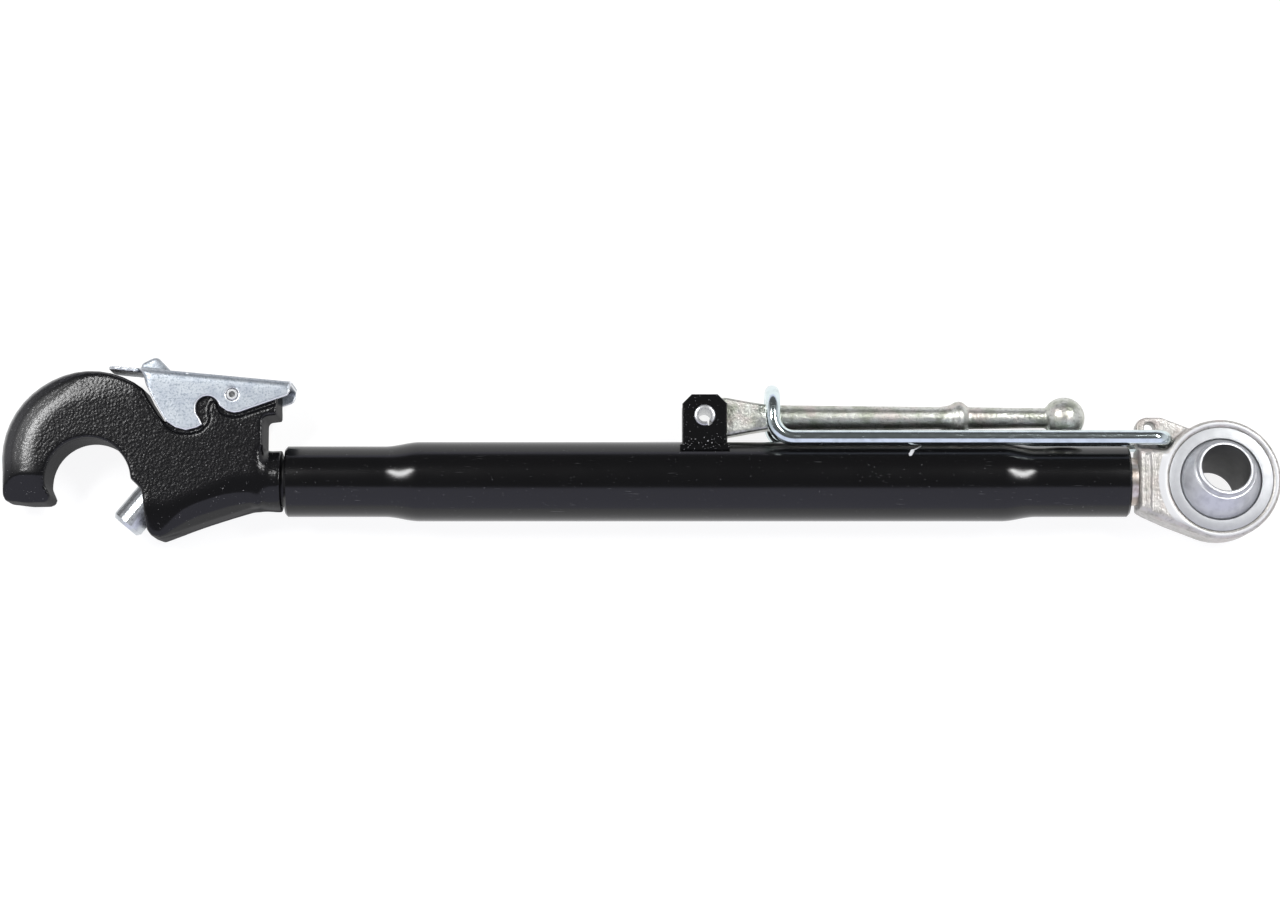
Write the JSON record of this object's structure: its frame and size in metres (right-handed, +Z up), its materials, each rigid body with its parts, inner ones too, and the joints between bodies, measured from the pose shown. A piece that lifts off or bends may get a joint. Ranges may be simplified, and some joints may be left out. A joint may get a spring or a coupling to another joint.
{
  "type": "tractor top link",
  "caption": "Adjustable tractor top link: swaged turnbuckle barrel with turning handle and wire bail, quick-release hook at one end and swivel ball eye at the other.",
  "frame": {"origin": "on the ground under the middle of the link as it lies on its side, fully screwed in", "axes": "+X from the hook to the swivel ball along the barrel, +Y towards the turning handle, +Z up along the implement pins"},
  "size_m": [0.8398, 0.1226, 0.0589],
  "materials": {
    "black_paint": "gloss black paint",
    "black_cast_iron": "sand-cast, painted satin black",
    "bright_zinc": "blue-white zinc plate on pressed or turned steel",
    "forged_zinc": "zinc plate on a forged skin, slightly warm and mottled",
    "plated_steel": "satin zinc plate on machined steel",
    "spring_steel": "dark oiled spring steel",
    "polished_wire": "bright zinc on drawn wire"
  },
  "bodies": {
    "barrel": {"barrel_tube": "black_paint", "bracket_cheek_front": "black_paint", "bracket_cheek_rear": "black_paint", "handle_pin": "spring_steel"},
    "handle": {"turning_handle": "forged_zinc"},
    "hook": {"hook_body": "black_cast_iron", "hook_spindle": "plated_steel", "spring_seat_ring": "plated_steel", "bore_circlip": "spring_steel", "bolt_spring": "spring_steel"},
    "bolt": {"locking_bolt": "bright_zinc", "lever_pin": "spring_steel"},
    "lever": {"release_lever": "bright_zinc"},
    "eye": {"eye_forging": "forged_zinc", "eye_spindle": "plated_steel", "race_ring_front": "plated_steel", "race_ring_rear": "plated_steel"},
    "ball": {"swivel_ball": "plated_steel"},
    "bail": {"locking_bail": "polished_wire"}
  },
  "joints": [
    {"name": "eye_extend", "type": "slide", "parent": "barrel", "child": "eye", "axis": [1, 0, 0], "range_m": [0, 0.135]},
    {"name": "hook_extend", "type": "slide", "parent": "barrel", "child": "hook", "axis": [-1, 0, 0], "range_m": [0, 0.135]},
    {"name": "bolt_slide", "type": "slide", "parent": "hook", "child": "bolt", "axis": [0.6428, 0.766, 0], "range_m": [0, 0.02], "stiffness_N_per_m": 1500, "springref_m": -0.02, "deforming": ["bolt_spring"]},
    {"name": "lever_tilt", "type": "hinge", "parent": "bolt", "child": "lever", "pos_m": [-0.268, 0.03346, 0.02964], "axis": [0, 0, -1], "range_deg": [0, 27.1]},
    {"name": "bail_swing", "type": "hinge", "parent": "eye", "child": "bail", "pos_m": [0.3439, 0.00518, 0.02964], "axis": [0, 0, -1], "range_deg": [0, 130]},
    {"name": "handle_swing", "type": "hinge", "parent": "barrel", "child": "handle", "pos_m": [0.04194, 0.02036, 0.02964], "axis": [0, 0, 1], "range_deg": [0, 90.1]},
    {"name": "ball_swivel", "type": "hinge", "parent": "eye", "child": "ball", "pos_m": [0.38039, -0.02184, 0.02964], "axis": [-0.9563, 0.2924, 0], "range_deg": [-36, 4]}
  ],
  "couplings": [
    {"joint": "hook_extend", "follows": "eye_extend", "ratio": 1},
    {"joint": "lever_tilt", "follows": "bolt_slide", "rad_per_m": 23.56},
    {"joint": "handle_swing", "follows": "bail_swing", "ratio": 0.6923}
  ]
}
